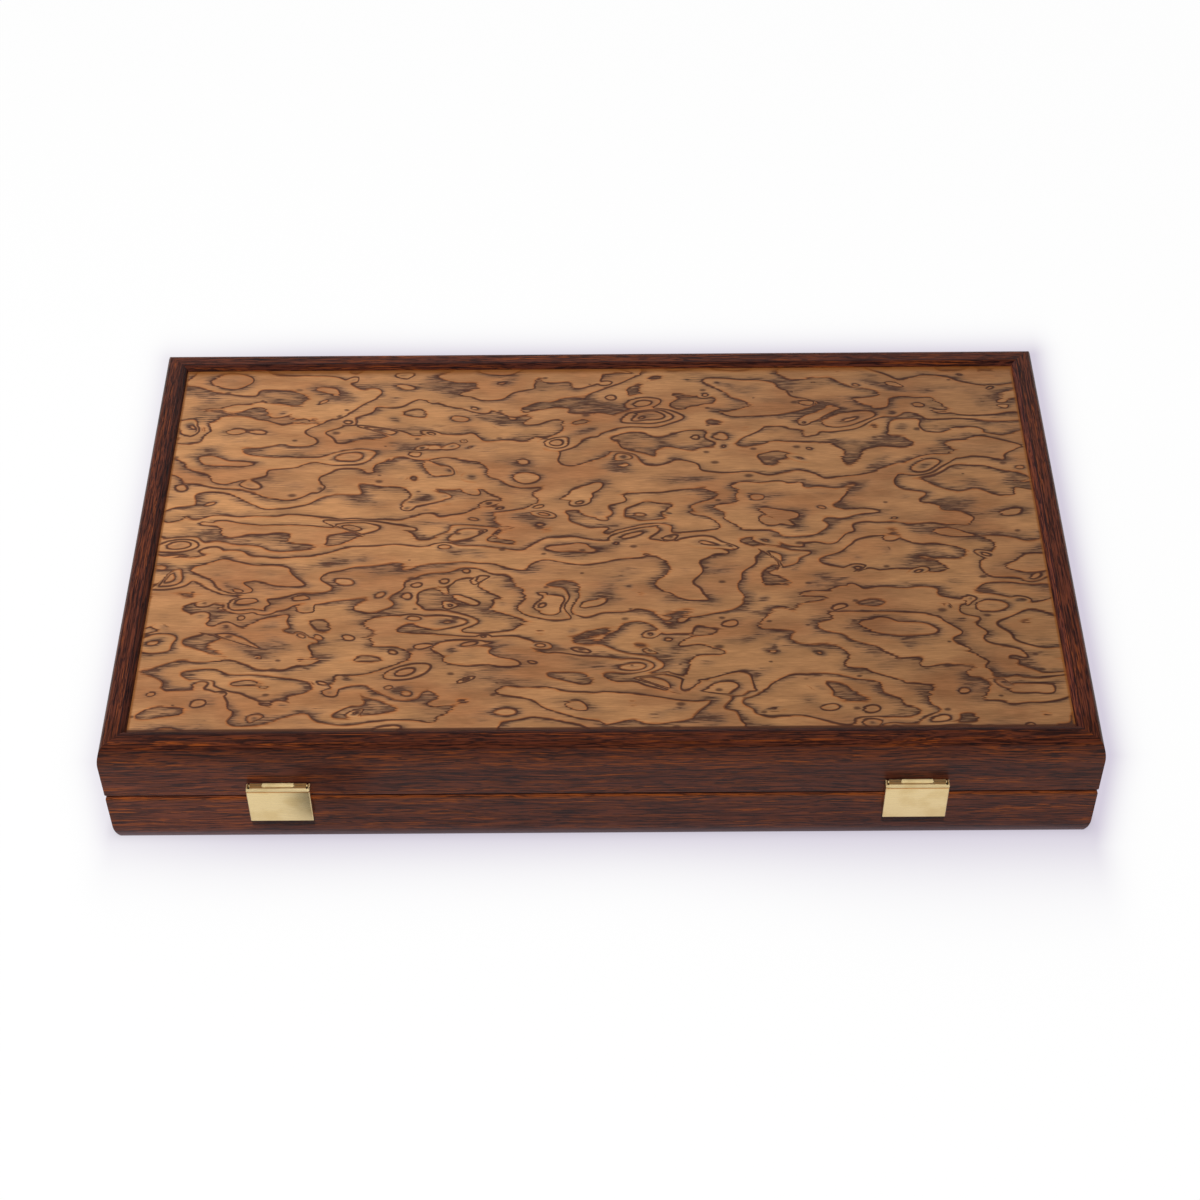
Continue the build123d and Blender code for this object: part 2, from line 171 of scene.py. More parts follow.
class Value:
    """An output of a node; its methods and arithmetic with it add nodes that work on it."""

    def __init__(self, graph: Graph, socket: bpy.types.NodeSocket) -> None:
        """Notes the graph and the output's socket."""
        self.graph = graph
        self.socket = socket

    def other(self, output: str) -> "Value":
        """Another output of the same node."""
        return Value(self.graph, self.socket.node.outputs[output])

    def math(self, operation: str, *values: Wire) -> "Value":
        """Joins numbers, or vectors if there is one among them.

        Args:
            operation: The arithmetic operation.
            *values: Its one or two operands.

        Returns:
            The result.
        """
        sockets = [value.socket for value in values if isinstance(value, Value)]
        vectors = any(socket.type == "VECTOR" for socket in sockets)
        kind = "ShaderNodeVectorMath" if vectors else "ShaderNodeMath"
        return self.graph.add(kind, dict(enumerate(values)), operation=operation)

    def __add__(self, other: Wire) -> "Value":
        """The sum."""
        return self.math("ADD", self, other)

    def __radd__(self, other: Wire) -> "Value":
        """The sum with a plain value in front."""
        return self.math("ADD", other, self)

    def __sub__(self, other: Wire) -> "Value":
        """The difference."""
        return self.math("SUBTRACT", self, other)

    def __rsub__(self, other: Wire) -> "Value":
        """The difference from a plain value."""
        return self.math("SUBTRACT", other, self)

    def __mul__(self, other: Wire) -> "Value":
        """The product, part by part for vectors."""
        return self.math("MULTIPLY", self, other)

    def __truediv__(self, other: Wire) -> "Value":
        """The quotient."""
        return self.math("DIVIDE", self, other)

    def __abs__(self) -> "Value":
        """The number without its sign."""
        return self.math("ABSOLUTE", self)

    def larger(self, other: Wire) -> "Value":
        """The larger of two numbers."""
        return self.math("MAXIMUM", self, other)

    def smaller(self, other: Wire) -> "Value":
        """The smaller of two numbers."""
        return self.math("MINIMUM", self, other)

    def clamped(self) -> "Value":
        """The result of arithmetic on numbers, kept between 0 and 1."""
        self.socket.node.use_clamp = True
        return self

    def fade(self, change: Fade) -> "Value":
        """The result of an eased change at this reading."""
        inputs = dict(enumerate((self, change.low, change.high, change.start, change.end)))
        return self.graph.add("ShaderNodeMapRange", inputs, interpolation_type="SMOOTHSTEP")

    def band(self, rise: Fade, fall: Fade) -> "Value":
        """A change that rises and falls again along this reading."""
        return self.fade(rise) * self.fade(fall)

    def parts(self) -> tuple["Value", "Value", "Value"]:
        """The three parts of a vector."""
        first = self.graph.add("ShaderNodeSeparateXYZ", {0: self})
        return tuple(Value(self.graph, socket) for socket in first.socket.node.outputs)

    def length(self) -> "Value":
        """The length of a vector."""
        return self.graph.add("ShaderNodeVectorMath", {0: self}, "Value", operation="LENGTH")

    def noise(self, detail: float = 2.0, rough: float = 0.5, flat: bool = False) -> "Value":
        """Smooth noise at this place, about 0 to 1 and one unit wide; if flat, it reads X and Y alone."""
        inputs = {"Vector": self, "Scale": 1.0, "Detail": detail, "Roughness": rough}
        return self.graph.add("ShaderNodeTexNoise", inputs, noise_dimensions="2D" if flat else "3D")

    def cells(self, loose: float, feature: str = "F1") -> "Value":
        """Scattered cells in two dimensions, one unit wide.

        Args:
            loose: How far the cells stray from a square net.
            feature: Which distance the cells give.

        Returns:
            The distance at this place; the node's Color is another output.
        """
        inputs = {"Vector": self, "Scale": 1.0, "Randomness": loose}
        settings = {"voronoi_dimensions": "2D", "feature": feature}
        return self.graph.add("ShaderNodeTexVoronoi", inputs, "Distance", **settings)

    def mix(self, below: Wire, above: Wire) -> "Value":
        """Puts this share of one colour above another."""
        return self.graph.blend(self, below, above)

    def tint(self, colour: "Value", factors: Wire) -> "Value":
        """Multiplies this share of a colour by a factor for each channel."""
        return self.mix(colour, colour.tinted(factors))

    def tinted(self, factors: Wire) -> "Value":
        """This colour multiplied by a factor for each channel."""
        return self.graph.blend(1.0, self, factors, blend_type="MULTIPLY")

    def grey(self) -> "Value":
        """A vector with this number in each part."""
        return self.graph.join(self, self, self)


def new_material(name: str) -> tuple[bpy.types.Material, Graph]:
    """Makes a material with an empty node tree.

    Args:
        name: The material's name.

    Returns:
        The material and its graph.
    """
    material = bpy.data.materials.new(name)
    material.use_nodes = True
    material.node_tree.nodes.clear()
    return material, Graph(material.node_tree)


# Patterns, with their sizes in millimetres


@dataclass(frozen=True)
class Streaks:
    """Noise drawn out along the fibres; the shift picks another part of it."""

    length: float
    width: float
    detail: float
    shift: float = 0.0
    rough: float = 0.62

    def read(self, along: Value, across: Value, height: Value) -> Value:
        """Reads the streaks.

        Args:
            along: The place along the fibres.
            across: The place across them.
            height: The height of the fibre.

        Returns:
            The noise value.
        """
        if self.shift:
            along = along + self.shift
        spot = along.graph.join(along / self.length, across / self.width, height / self.width)
        return spot.noise(self.detail, self.rough)


@dataclass(frozen=True)
class Swell:
    """A slow rise and fall of the fibres, as long, wide and tall as its size."""

    size: Place
    most: float

    def read(self, *place: Value) -> Value:
        """How far the fibres rise at a place along and across them and on Z."""
        spot = place[0].graph.join(*(part / size for part, size in zip(place, self.size)))
        return (spot.noise(detail=1.0) - 0.5) * self.most


@dataclass(frozen=True)
class Cloud:
    """Flat noise with features of that width and height."""

    wide: float
    tall: float
    detail: float = 2.0
    rough: float = 0.5

    def read(self, place: Value) -> Value:
        """The noise at a place."""
        return (place * (1 / self.wide, 1 / self.tall, 0.0)).noise(self.detail, self.rough, flat=True)


@dataclass(frozen=True)
class Layer:
    """Flat noise centred on zero; the shift picks another part of it."""

    wide: float
    tall: float
    detail: float
    shift: float
    most: float

    def read(self, place: Value) -> Value:
        """The layer's height at a place."""
        spot = place * (1 / self.wide, 1 / self.tall, 0.0) + (self.shift, -self.shift, 0.0)
        return (spot.noise(self.detail, flat=True) - 0.5) * self.most


@dataclass(frozen=True)
class Eyes:
    """Small domes scattered over the growth layers, which the flat cut opens as rings.

    Each dome has a room to itself and is at most so many layers tall. The empty share of the rooms has none,
    and some regions are more crowded than others. The shift moves a scatter away from the others.
    """

    room: tuple[float, float]
    shift: float
    most: float
    empty: float
    loose: float = 0.9
    crowd: Cloud = Cloud(90.0, 55.0, 0.0)
    crowding: float = 1.2
    reach: tuple[float, float] = (0.3, 0.22)
    border: Fade = Fade(0.0, 0.1)
    least: float = 0.2
    sharpness: float = 0.04

    def read(self, place: Value) -> Value:
        """Reads the height that the domes add.

        Args:
            place: The place in millimetres.

        Returns:
            The height in layers.
        """
        spot = place * (1 / self.room[0], 1 / self.room[1], 0.0) + (self.shift, self.shift, 0.0)
        near = spot.cells(self.loose)
        tall, wide, there = near.other("Color").parts()
        there = there + (self.crowd.read(place) - 0.5) * self.crowding
        reach = wide * self.reach[0] + self.reach[1]
        dome = (1.0 - near / reach).clamped().fade(Fade(0.0, 1.0))
        dome = dome * spot.cells(self.loose, "DISTANCE_TO_EDGE").fade(self.border)
        there = there.fade(Fade(self.empty, self.empty + self.sharpness))
        return dome * ((tall + self.least) * self.most * there)


# Finishes, with their places in millimetres in the frame of the case


@dataclass(frozen=True)
class RailWood:
    """Dark open-grained wood of the rails, with black and russet streaks along the fibres.

    Painted shade darkens the joint of the two trays, a russet band lies just below it, and a painted sheen
    lightens the foot. Painted shade darkens the rounded edges, the front's upper part and its waist, and
    painted light makes the front's left end paler. The stepped moulding has painted shade, with painted light
    on the right of the side rails, and a painted shadow line where it meets the rail.
    """

    name: str
    grain: Grain
    half_case: float
    ground: Colour = srgb(107, 55, 38)
    deep: Colour = srgb(69, 35, 26)
    russet: Colour = srgb(156, 79, 33)
    black: Colour = srgb(34, 20, 22)
    # Painted shade in the joint of the two trays.
    joint_shade: Colour = srgb(48, 16, 3)
    # Painted sheen of the floor on the foot's rounded edge.
    painted_foot_sheen: Colour = srgb(152, 124, 124)
    under_joint_tint: Colour = (0.76, 0.73, 0.58)
    # Painted shade on the rounded edges at the top and the foot.
    rim_shade: Colour = (0.8, 0.79, 0.84)
    # Painted shade on the front's upper part.
    front_top_shade: Colour = (0.74, 0.7, 0.62)
    # Painted shade on the front's waist.
    waist_shade: Colour = (0.82, 0.79, 0.8)
    # Painted shade on the moulding.
    moulding: Colour = (0.66, 0.64, 0.68)
    # Painted shade on the moulding at the right; on the side rails, painted light.
    moulding_right_light_and_shade: Colour = (0.66, 0.64, 0.68)
    swells: tuple[Swell, ...] = (Swell((95.0, 40.0, 22.0), 7.0), Swell((30.0, 16.0, 9.0), 1.8))
    broad: Streaks = Streaks(59.4, 1.924, 3.0, 13.0)
    fine: Streaks = Streaks(27.0, 0.74, 3.0, 57.0)
    hair: Streaks = Streaks(16.2, 0.592, 2.0, 131.0)
    strip: Streaks = Streaks(135.0, 5.18, 1.0, 211.0)
    pore: Streaks = Streaks(9.0, 0.6, 1.0, 307.0)
    ground_fade: Fade = Fade(0.43, 0.57)
    russet_broad: Fade = Fade(0.46, 0.62)
    russet_hair: Fade = Fade(0.44, 0.58)
    russet_strip: Fade = Fade(0.36, 0.62, 0.35, 1.0)
    black_fine: Fade = Fade(0.49, 0.4)
    black_hair: Fade = Fade(0.53, 0.43)
    black_share: float = 0.85
    pore_fade: Fade = Fade(0.46, 0.38)
    pore_share: float = 0.75
    joint: float = 35.0
    under_joint_band: tuple[Fade, Fade] = (Fade(0.5, 0.9), Fade(4.0, 1.6))
    under_joint_hair: Fade = Fade(0.36, 0.6, 0.2, 0.95)
    upper_band: tuple[Fade, Fade] = (Fade(54.0, 60.0), Fade(71.0, 66.0))
    upper_hair: Fade = Fade(0.46, 0.66, 0.0, 0.5)
    joint_shade_rise: float = 0.25
    joint_shade_fade: Fade = Fade(0.95, 0.5225)
    foot_sheen_fade: Fade = Fade(9.0, 1.5)
    rim_fade: Fade = Fade(24.0, 32.0)
    front_fade: Fade = Fade(-118.0, -128.0)
    front_top_fade: Fade = Fade(56.0, 67.0)
    waist_level: float = 52.0
    waist_fade: Fade = Fade(9.0, 4.0)
    # Painted light on the front's left end.
    lit_end_beside: Fade = Fade(-110.0, -200.0)
    lit_end_below: Fade = Fade(60.0, 50.0, 0.35, 1.0)
    lit_end_gain: float = 1.5
    moulding_edge: float = 10.3
    moulding_fade: Fade = Fade(-0.2, 0.4)
    middle_fade: Fade = Fade(-1.0, 1.0)
    # The painted shadow line of a groove where the moulding meets the rail.
    quirk_fade: Fade = Fade(0.5, 0.15)
    quirk_share: float = 0.8
    relief_hair: float = 0.35
    relief_pores: float = 0.65

    def build(self) -> bpy.types.Material:
        """Builds the finish.

        Returns:
            The material.
        """
        material, graph = new_material(self.name)
        x, y, z = graph.place().parts()
        along, across = (x, y) if self.grain is Grain.ALONG_X else (y, x)
        height = z
        for swell in self.swells:
            height = height + swell.read(along, across, z)
        broad, fine, hair, strip, pore = (
            streaks.read(along, across, height)
            for streaks in (self.broad, self.fine, self.hair, self.strip, self.pore)
        )
        below = self.joint - z
        under_joint = below.band(*self.under_joint_band)
        upper = z.band(*self.upper_band)
        pores = pore.fade(self.pore_fade)

        colour = fine.fade(self.ground_fade).mix(self.deep, self.ground)
        warm = broad.fade(self.russet_broad) * hair.fade(self.russet_hair) * strip.fade(self.russet_strip)
        warm = warm + upper * hair.fade(self.upper_hair)
        warm = (warm + under_joint * hair.fade(self.under_joint_hair)).clamped()
        colour = warm.mix(colour, self.russet)
        dark = fine.fade(self.black_fine) * hair.fade(self.black_hair)
        colour = (dark * self.black_share).mix(colour, self.black)
        colour = (pores * self.pore_share).mix(colour, self.black)

        # A russet band just below the joint.
        colour = under_joint.tint(colour, self.under_joint_tint)
        # Painted shade in the joint of the two trays.
        joint_shade = abs(below + self.joint_shade_rise).fade(self.joint_shade_fade) * hair.fade(swing(0.95, 0.7))
        colour = joint_shade.mix(colour, self.joint_shade)
        # Painted sheen at the foot: the floor reflected on the rounded bottom edge.
        foot_sheen = z.fade(self.foot_sheen_fade) * hair.fade(swing(0.8, 0.45))
        colour = foot_sheen.mix(colour, self.painted_foot_sheen)
        # Painted shade on the rounded edges at the top and the foot.
        edges = abs(below).fade(self.rim_fade)
        colour = self.front(edges.tint(colour, self.rim_shade), x, y, z)
        colour = self.moulded(colour, edges, x, across)
        relief = hair * self.relief_hair - pores * self.relief_pores
        graph.surface({
            "Base Color": colour,
            "Roughness": fine.fade(Fade(0.2, 0.8, 0.58, 0.44)),
            "Specular IOR Level": 0.08,
            "Coat Weight": 0.17,
            "Coat Roughness": 0.25,
            "Normal": graph.bump(relief, depth=0.12, strength=0.6),
        })
        return material

    def front(self, colour: Value, x: Value, y: Value, z: Value) -> Value:
        """Paints shade on the front's upper part and its waist, and paints light on its left end, which makes
        it paler.

        Args:
            colour: The wood's colour.
            x: The place on X.
            y: The place on Y.
            z: The place on Z.

        Returns:
            The colour after that.
        """
        front = y.fade(self.front_fade)
        # Painted shade on the front's upper part.
        colour = (z.fade(self.front_top_fade) * front).tint(colour, self.front_top_shade)
        # Painted shade on the front's waist.
        colour = (abs(z - self.waist_level).fade(self.waist_fade) * front).tint(colour, self.waist_shade)
        # Painted light on the front's left end.
        pale = front * x.fade(self.lit_end_beside) * z.fade(self.lit_end_below)
        return colour * pale.fade(Fade(0.0, 1.0, 1.0, self.lit_end_gain)).grey()

    def moulded(self, colour: Value, edges: Value, x: Value, across: Value) -> Value:
        """Paints shade on the stepped moulding and light on the right of the side rails, and paints a shadow
        line where it meets the rail.

        Args:
            colour: The wood's colour.
            edges: Where the case's rounded edges are.
            x: The place on X.
            across: The place across the fibres.

        Returns:
            The colour after that.
        """
        inward = self.half_case - self.moulding_edge - abs(across)
        # Painted shade on the moulding; on the right of the side rails, painted light.
        tint = x.fade(self.middle_fade).mix(self.moulding, self.moulding_right_light_and_shade)
        colour = (edges * inward.fade(self.moulding_fade)).tint(colour, tint)
        # A painted shadow line where the moulding meets the rail.
        quirk = edges * abs(inward).fade(self.quirk_fade)
        return (quirk * self.quirk_share).mix(colour, self.black)


@dataclass(frozen=True)
class BurlVeneer:
    """Golden burl veneer: growth layers cut flat, so their edges wander like the lines of a relief map.

    The layers are a height field. A line runs where the height passes a whole number, and is as wide
    everywhere because its distance is divided by the slope. Each layer has a tone, an amber side at its line,
    and haze and dark patches that gather in threads towards the next line. The beside and nearer light are
    the photo's light on the panel. Painted shade darkens the panel's edges, and darker still its front edge.
    """

    name: str
    origin: tuple[float, float]
    light: Colour = srgb(182, 131, 86)
    tan: Colour = srgb(156, 107, 71)
    haze: Colour = srgb(112, 85, 67)
    smudge: Colour = srgb(80, 51, 39)
    edge: Colour = srgb(70, 42, 34)
    amber: Colour = srgb(172, 102, 52)
    # Painted shade along the panel's edges.
    edge_shade: Colour = srgb(128, 74, 28)
    # Painted shade along the panel's front edge.
    front_edge_shade: Colour = srgb(68, 38, 28)
    shear: Layer = Layer(120.0, 21.0, 1.0, 3.7, 27.0)
    sway: Layer = Layer(80.0, 50.0, 0.0, 8.1, 14.0)
    layers: tuple[Layer, ...] = (Layer(118.0, 46.0, 1.0, 1.3, 6.8), Layer(32.0, 15.0, 1.0, 5.9, 2.2))
    eyes: tuple[Eyes, ...] = (Eyes((17.0, 10.0), 0.0, 1.2, 0.7), Eyes((50.0, 27.0), 40.0, 2.1, 0.4))
    probe: float = 0.3
    flattest: float = 0.03
    jag: Cloud = Cloud(9.0, 0.8, 2.0, 0.6)
    jag_reach: float = 1.6
    line_fringe: float = 0.17
    line_swell: Cloud = Cloud(21.0, 9.0, 1.0)
    line_width: float = 1.08
    line_change: tuple[float, float] = (0.7, 1.3)
    line_fade: Fade = Fade(0.85, 0.22)
    line_share: Fade = Fade(0.62, 0.5, 0.62, 0.9)
    cloud: Cloud = Cloud(58.0, 26.0, 3.0)
    tan_chance: float = 0.5
    tan_cloud: Fade = Fade(0.35, 0.7, 0.0, 0.6)
    amber_width: Fade = Fade(1.7, 0.0)
    amber_phase: Fade = Fade(0.5, 0.1)
    amber_share: float = 0.9
    amber_cloud: Fade = Fade(0.5, 0.74, 0.0, 0.16)
    where: Cloud = Cloud(44.0, 17.0, 1.0)
    strand: Cloud = Cloud(11.0, 0.8, 2.0, 0.6)
    haze_fringe: float = 0.35
    haze_fades: tuple[Fade, Fade] = (Fade(0.42, 0.98), Fade(0.38, 0.58, 0.35, 1.0))
    haze_strand: Fade = Fade(0.32, 0.66, 0.55, 1.2)
    haze_share: float = 0.9
    patch_fringe: float = 0.95
    patch_fades: tuple[Fade, Fade] = (Fade(0.76, 0.95), Fade(0.38, 0.54, 0.25, 1.0))
    patch_share: float = 0.84
    knot_room: tuple[float, float] = (22.0, 12.0)
    knot_reach: float = 0.11
    knot_least: float = 0.5
    knot_fade: Fade = Fade(1.0, 0.3)
    knot_chance: Fade = Fade(0.7, 0.75, 0.0, 0.85)
    ripple: Cloud = Cloud(27.0, 7.0, 2.0)
    beside_light: Fade = Fade(-260.0, 260.0, 1.16, 0.775)
    nearer_light: Fade = Fade(10.0, -95.0, 1.0, 0.87)
    half_panel: tuple[float, float] = (226.5, 128.5)
    # Where the painted edge shade lies.
    edge_shade_beside: Fade = Fade(1.6, 0.3)
    edge_shade_behind: Fade = Fade(5.0, 0.8)
    edge_shade_share: float = 0.8
    front_edge_shade_fade: Fade = Fade(2.3, 1.3, 0.0, 0.9)
    fibre: Cloud = Cloud(6.0, 0.22, 2.0, 0.65)

    def height_group(self) -> bpy.types.NodeTree:
        """Builds the height of the growth layers as a group that can be read at several points.

        Returns:
            A group from a place in millimetres to a height counted in layers.
        """
        tree = bpy.data.node_groups.new(self.name + "_layers", "ShaderNodeTree")
        tree.interface.new_socket("Place", in_out="INPUT", socket_type="NodeSocketVector")
        tree.interface.new_socket("Height", in_out="OUTPUT", socket_type="NodeSocketFloat")
        graph = Graph(tree)
        place = graph.add("NodeGroupInput")
        warped = place + graph.join(self.shear.read(place), self.sway.read(place))
        height, *others = (part.read(warped) for part in (*self.layers, *self.eyes))
        for other in others:
            height = height + other
        graph.node("NodeGroupOutput", {0: height})
        return tree

    def build(self) -> bpy.types.Material:
        """Builds the finish.

        Returns:
            The material.
        """
        material, graph = new_material(self.name)
        spot = graph.place() + (*self.origin, 0.0)
        jag = self.jag.read(spot) - 0.5
        cut = spot + graph.join(jag * self.jag_reach, 0.0)
        here, slope = self.relief(cut)
        fringed = here + jag * self.line_fringe
        phase = fringed.math("FRACT", fringed)
        cloud, where, strand = (pattern.read(spot) for pattern in (self.cloud, self.where, self.strand))

        layer = {"W": fringed.math("FLOOR", fringed)}
        chance = graph.add("ShaderNodeTexWhiteNoise", layer, noise_dimensions="1D")
        ripe = chance * self.tan_chance + cloud.fade(self.tan_cloud)
        tone = ripe.smaller(1.0).mix(self.light, self.tan)
        rim = (phase / slope).fade(self.amber_width) * phase.fade(self.amber_phase) * self.amber_share
        tone = rim.larger(cloud.fade(self.amber_cloud)).mix(tone, self.amber)

        def gathered(fringe: float, towards: Fade, region: Fade) -> Value:
            """How much gathers towards a layer's next line, in some regions more than in others."""
            return (phase + jag * fringe).fade(towards) * where.fade(region)

        misty = gathered(self.haze_fringe, *self.haze_fades)
        misty = (misty * strand.fade(self.haze_strand)).clamped()
        tone = (misty * self.haze_share).mix(tone, self.haze)
        tone = (gathered(self.patch_fringe, *self.patch_fades) * self.patch_share).mix(tone, self.smudge)
        tone = (self.line(spot, phase, slope) * where.fade(self.line_share)).mix(tone, self.edge)
        tone = self.knots(cut).mix(tone, self.smudge)
        factor = strand.fade(swing(1.08, 0.91)) * self.ripple.read(spot).fade(swing(0.9, 1.1))
        x, y, _ = graph.place().parts()
        factor = factor * x.fade(self.beside_light) * y.fade(self.nearer_light)
        tone = self.edged(tone.tinted(factor.grey()), x, y)
        fibre = self.fibre.read(spot).fade(Fade(0.25, 0.75, 0.86, 1.1))
        graph.surface({
            "Base Color": tone.tinted(fibre.grey()),
            "Roughness": cloud.fade(swing(0.44, 0.52)),
            "Specular IOR Level": 0.2,
            "Normal": graph.bump(fibre, depth=0.03, strength=0.5),
        })
        return material

    def relief(self, place: Value) -> tuple[Value, Value]:
        """Reads the height field beside a place as well, which gives its slope.

        Args:
            place: The place in millimetres.

        Returns:
            The height in layers and the slope in layers for each millimetre.
        """
        group = self.height_group()

        def height(*shift: float) -> Value:
            """The height of the layers beside the place."""
            return place.graph.add("ShaderNodeGroup", {0: place + shift}, node_tree=group)

        here = height(0.0, 0.0, 0.0)
        slope = place.graph.join(height(self.probe, 0.0, 0.0) - here, height(0.0, self.probe, 0.0) - here)
        return here, (slope.length() / self.probe).larger(self.flattest)

    def line(self, spot: Value, phase: Value, slope: Value) -> Value:
        """Draws the edges of the layers.

        Args:
            spot: The place in millimetres.
            phase: How far into its layer the place is, 0 to 1.
            slope: The slope of the height field.

        Returns:
            How much of the line shows.
        """
        narrow, wide = (self.line_width * factor for factor in self.line_change)
        wide = self.line_swell.read(spot).fade(swing(narrow, wide))
        return (phase.smaller(1.0 - phase) / slope / wide).fade(self.line_fade)

    def knots(self, place: Value) -> Value:
        """Darkens small soft spots, the pin knots, few and far between.

        Args:
            place: The place in millimetres.

        Returns:
            How dark the knots make it, 0 to 1.
        """
        near = (place * (1 / self.knot_room[0], 1 / self.knot_room[1], 0.0)).cells(1.0)
        there, wide, _ = near.other("Color").parts()
        dot = near / ((wide + self.knot_least) * self.knot_reach)
        return dot.fade(self.knot_fade) * there.fade(self.knot_chance)

    def edged(self, tone: Value, x: Value, y: Value) -> Value:
        """Paints shade along the panel's edges and a darker shade along its front edge.

        Args:
            tone: The veneer's colour.
            x: The place on X.
            y: The place on Y.

        Returns:
            The colour after that.
        """
        # Painted shade along the panel's edges, beside and behind.
        beside = (self.half_panel[0] - abs(x)).fade(self.edge_shade_beside)
        shaded_edges = beside.larger((self.half_panel[1] - y).fade(self.edge_shade_behind))
        tone = (shaded_edges * self.edge_shade_share).mix(tone, self.edge_shade)
        # Painted shade along the panel's front edge.
        return (self.half_panel[1] + y).fade(self.front_edge_shade_fade).mix(tone, self.front_edge_shade)


@dataclass(frozen=True)
class PlainVeneer:
    """Straight-grained veneer with fine pores, for the playing side and the inlays."""

    name: str
    light: Colour
    dark: Colour
    pore: Colour
    grain: Grain = Grain.ALONG_Y
    width: float = 2.4
    length: float = 60.0
    broad_length: float = 2.0
    broad_width: float = 5.0
    broad_share: float = 0.55
    rough: float = 0.6
    blend_fade: Fade = Fade(0.34, 0.66)
    pore_size: tuple[float, float] = (5.0, 0.28)
    pore_fade: Fade = Fade(0.38, 0.28)
    pore_share: float = 0.5

    def build(self) -> bpy.types.Material:
        """Builds the finish.

        Returns:
            The material.
        """
        material, graph = new_material(self.name)
        x, y, z = graph.place().parts()
        along, across = (x, y) if self.grain is Grain.ALONG_X else (y, x)
        sizes = (
            (self.length * self.broad_length, self.width * self.broad_width, 2.0),
            (self.length, self.width, 3.0),
            (*self.pore_size, 1.0),
        )
        broad, fine, pore = (Streaks(*size, rough=self.rough).read(along, across, z) for size in sizes)
        pores = pore.fade(self.pore_fade)
        blend = broad * self.broad_share + fine * (1.0 - self.broad_share)
        colour = blend.fade(self.blend_fade).mix(self.dark, self.light)
        graph.surface({
            "Base Color": (pores * self.pore_share).mix(colour, self.pore),
            "Roughness": fine.fade(Fade(0.2, 0.8, 0.47, 0.38)),
            "Specular IOR Level": 0.35,
            "Normal": graph.bump(pores * -1.0, depth=0.05, strength=0.6),
        })
        return material


@dataclass(frozen=True)
class SatinBrass:
    """Pale brass with a fine brushed grain and softened edges.

    The parts that aren't metallic act as satin lacquer: matte is that share of the whole piece. A patina with
    painted shade browns the faces that look up behind the bend line, which is the flap's front, and makes
    them satin. Bend makes the flap's folds matte, the slanted faces and all above the crease, as a painted
    highlight of a rounded bend, and draws a painted shade line at the crease.
    """

    name: str
    colour: Colour = srgb(231, 207, 156)
    tone: Colour = srgb(206, 176, 118)
    # Patina with painted shade on the flap's top, and the painted shade line at the crease.
    patina_and_shade_brown: Colour = srgb(192, 128, 56)
    roughness: float = 0.27
    polish: tuple[float, float] = (-0.04, 0.07)
    brushed: float = 0.35
    soft_edge: float = 0.35
    matte: float = 0.0
    satin: float = 0.0
    # A patina with painted shade on the faces that look up behind the bend line.
    patina_and_shade: float = 0.0
    patina_and_shade_change: tuple[float, float] = (0.8, 1.2)
    browning: float = 2.0
    # Folds made matte for a painted highlight of a rounded bend.
    bend: float = 0.0
    bend_line: float = -145.7
    bend_blur: float = 0.2
    crease: float = 44.5
    crease_width: tuple[float, float] = (0.6, 0.2)
    crease_blur: float = 0.3
    grain_size: Place = (6.0, 0.08, 0.08)
    grain_rough: float = 0.6
    grain_share: float = 0.25
    cloud_size: float = 9.0
    cloud_fade: Fade = Fade(0.42, 0.7, 0.0, 0.45)
    upward: Fade = Fade(0.88, 0.97)
    slanted: tuple[Fade, Fade] = (Fade(0.3, 0.45), Fade(0.9, 0.8))

    def build(self) -> bpy.types.Material:
        """Builds the finish.

        Returns:
            The material.
        """
        material, graph = new_material(self.name)
        spot = graph.place()
        grain = (spot * tuple(1 / size for size in self.grain_size)).noise(rough=self.grain_rough)
        cloud = (spot * ((1 / self.cloud_size,) * 3)).noise()
        colour = cloud.fade(self.cloud_fade).mix(self.colour, self.tone)
        colour = grain.fade(swing(0.0, self.grain_share)).mix(colour, self.tone)
        _, y, z = spot.parts()
        _, _, facing = graph.add("ShaderNodeTexCoord", output="Normal").parts()
        before = y.fade(Fade(self.bend_line + self.bend_blur, self.bend_line - self.bend_blur))

        # Patina with painted shade: browns the faces that look up behind the bend line.
        raised = facing.fade(self.upward) * (1.0 - before)
        aged_and_shaded = raised * cloud.fade(swing(*(self.patina_and_shade * factor for factor in self.patina_and_shade_change)))
        colour = (aged_and_shaded * self.browning).clamped().mix(colour, self.patina_and_shade_brown)
        # A painted shade line at the crease, below the bend.
        crease = abs(z - self.crease).fade(Fade(*self.crease_width, 0.0, self.bend))
        colour = (crease * before).mix(colour, self.patina_and_shade_brown)
        # Matte folds and all above the crease: a painted highlight of a rounded bend.
        above = before * z.fade(Fade(self.crease, self.crease + self.crease_blur))
        plain = self.matte + facing.band(*self.slanted).larger(above) * self.bend
        polish = grain.fade(Fade(0.25, 0.75, *(self.roughness + change for change in self.polish)))
        rounded = graph.add("ShaderNodeBevel", {"Radius": self.soft_edge * MM}, samples=4)
        graph.surface({
            "Base Color": colour,
            "Metallic": 1.0 - plain.larger(aged_and_shaded),
            "Roughness": polish + raised * self.satin,
            "Normal": graph.bump(grain, depth=0.01, strength=self.brushed, Normal=rounded),
        })
        return material


